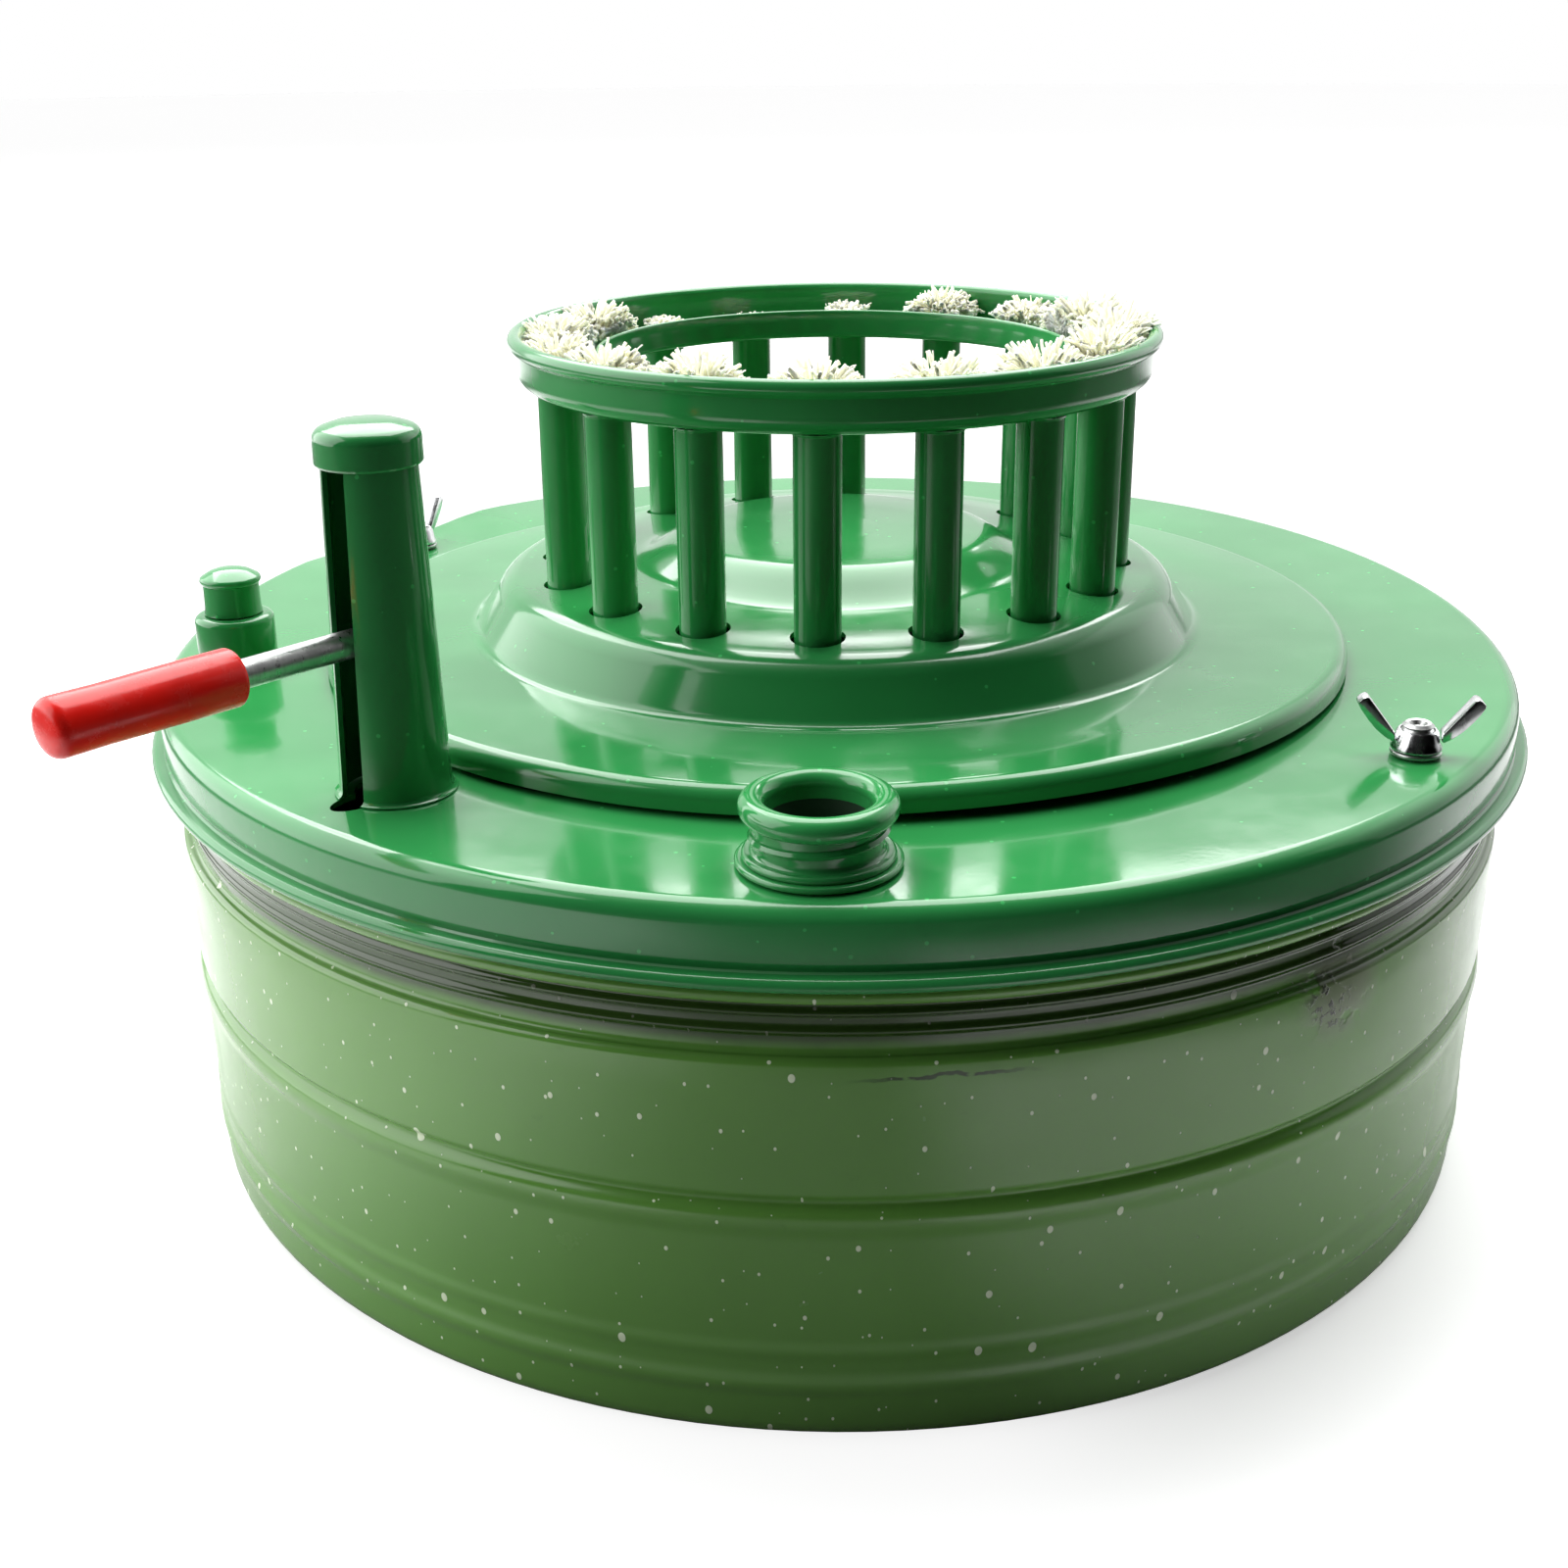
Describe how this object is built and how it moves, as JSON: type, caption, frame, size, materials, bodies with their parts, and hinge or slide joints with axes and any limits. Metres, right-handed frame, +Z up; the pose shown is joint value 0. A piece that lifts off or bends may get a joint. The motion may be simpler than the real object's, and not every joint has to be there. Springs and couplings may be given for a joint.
{
  "type": "kerosene wick stove",
  "caption": "Round enamelled kerosene stove: fuel tank with a bolted lift-off lid, a ring of cotton wicks in tubes under a trough, and a side lever that raises the wicks.",
  "frame": {"origin": "centre of the tank's flat base, on the surface it stands on", "axes": "+Z up through the middle of the burner, -Y to the front where the filler neck is, +X to the right"},
  "size_m": [0.2932, 0.2932, 0.1718],
  "materials": {
    "lid_enamel": "glossy mid-green enamel",
    "tank_enamel": "glossy olive-green enamel with pale specks",
    "plain_steel": "plain pressed steel",
    "zinc_plate": "bright zinc plate",
    "wing_nut_chrome": "bright plated",
    "gauge_brass": "drawn brass",
    "float_cork": "pressed cork",
    "wick_cotton": "cream cotton yarn",
    "grip_plastic": "glossy red plastic"
  },
  "bodies": {
    "tank": {"tank_basin": "tank_enamel", "stud_bracket_right": "plain_steel", "stud_bracket_left": "plain_steel", "lid_stud_right": "zinc_plate", "lid_stud_left": "zinc_plate"},
    "lid": {"tank_lid": "lid_enamel", "burner_plate": "lid_enamel", "wick_trough": "lid_enamel", "wick_tube_01": "lid_enamel", "wick_tube_02": "lid_enamel", "wick_tube_03": "lid_enamel", "wick_tube_04": "lid_enamel", "wick_tube_05": "lid_enamel", "wick_tube_06": "lid_enamel", "wick_tube_07": "lid_enamel", "wick_tube_08": "lid_enamel", "wick_tube_09": "lid_enamel", "wick_tube_10": "lid_enamel", "wick_tube_11": "lid_enamel", "wick_tube_12": "lid_enamel", "wick_tube_13": "lid_enamel", "wick_tube_14": "lid_enamel", "wick_tube_15": "lid_enamel", "wick_tube_16": "lid_enamel", "lever_post": "lid_enamel", "post_cap": "lid_enamel", "filler_neck": "lid_enamel", "gauge_housing": "lid_enamel", "gauge_cap": "lid_enamel", "gauge_guide": "gauge_brass", "lid_washer_right": "zinc_plate", "lid_washer_left": "zinc_plate"},
    "wick_lifter": {"wick_01": "wick_cotton", "wick_02": "wick_cotton", "wick_03": "wick_cotton", "wick_04": "wick_cotton", "wick_05": "wick_cotton", "wick_06": "wick_cotton", "wick_07": "wick_cotton", "wick_08": "wick_cotton", "wick_09": "wick_cotton", "wick_10": "wick_cotton", "wick_11": "wick_cotton", "wick_12": "wick_cotton", "wick_13": "wick_cotton", "wick_14": "wick_cotton", "wick_15": "wick_cotton", "wick_16": "wick_cotton", "wick_carrier": "plain_steel", "lifter_strap": "plain_steel", "carrier_rivet": "zinc_plate", "lever_rod": "zinc_plate", "rod_nut_outer": "zinc_plate", "rod_nut_inner": "zinc_plate", "lever_grip": "grip_plastic"},
    "gauge_float": {"gauge_float": "float_cork"},
    "wing_nut_right": {"wing_nut_right": "wing_nut_chrome"},
    "wing_nut_left": {"wing_nut_left": "wing_nut_chrome"}
  },
  "joints": [
    {"name": "lid_lift", "type": "slide", "parent": "tank", "child": "lid", "axis": [0, 0, 1], "range_m": [0, 0.13]},
    {"name": "wick_lift", "type": "slide", "parent": "lid", "child": "wick_lifter", "axis": [0, 0, 1], "range_m": [-0.02, 0.015]},
    {"name": "gauge_float_rise", "type": "slide", "parent": "lid", "child": "gauge_float", "axis": [0, 0, 1], "range_m": [0, 0.045]},
    {"name": "wing_nut_right_turn", "type": "hinge", "parent": "lid", "child": "wing_nut_right", "pos_m": [0.10708, -0.07667, 0.1048], "axis": [0, 0, 1], "continuous": true},
    {"name": "wing_nut_left_turn", "type": "hinge", "parent": "lid", "child": "wing_nut_left", "pos_m": [-0.10722, 0.07648, 0.1048], "axis": [0, 0, 1], "continuous": true}
  ]
}
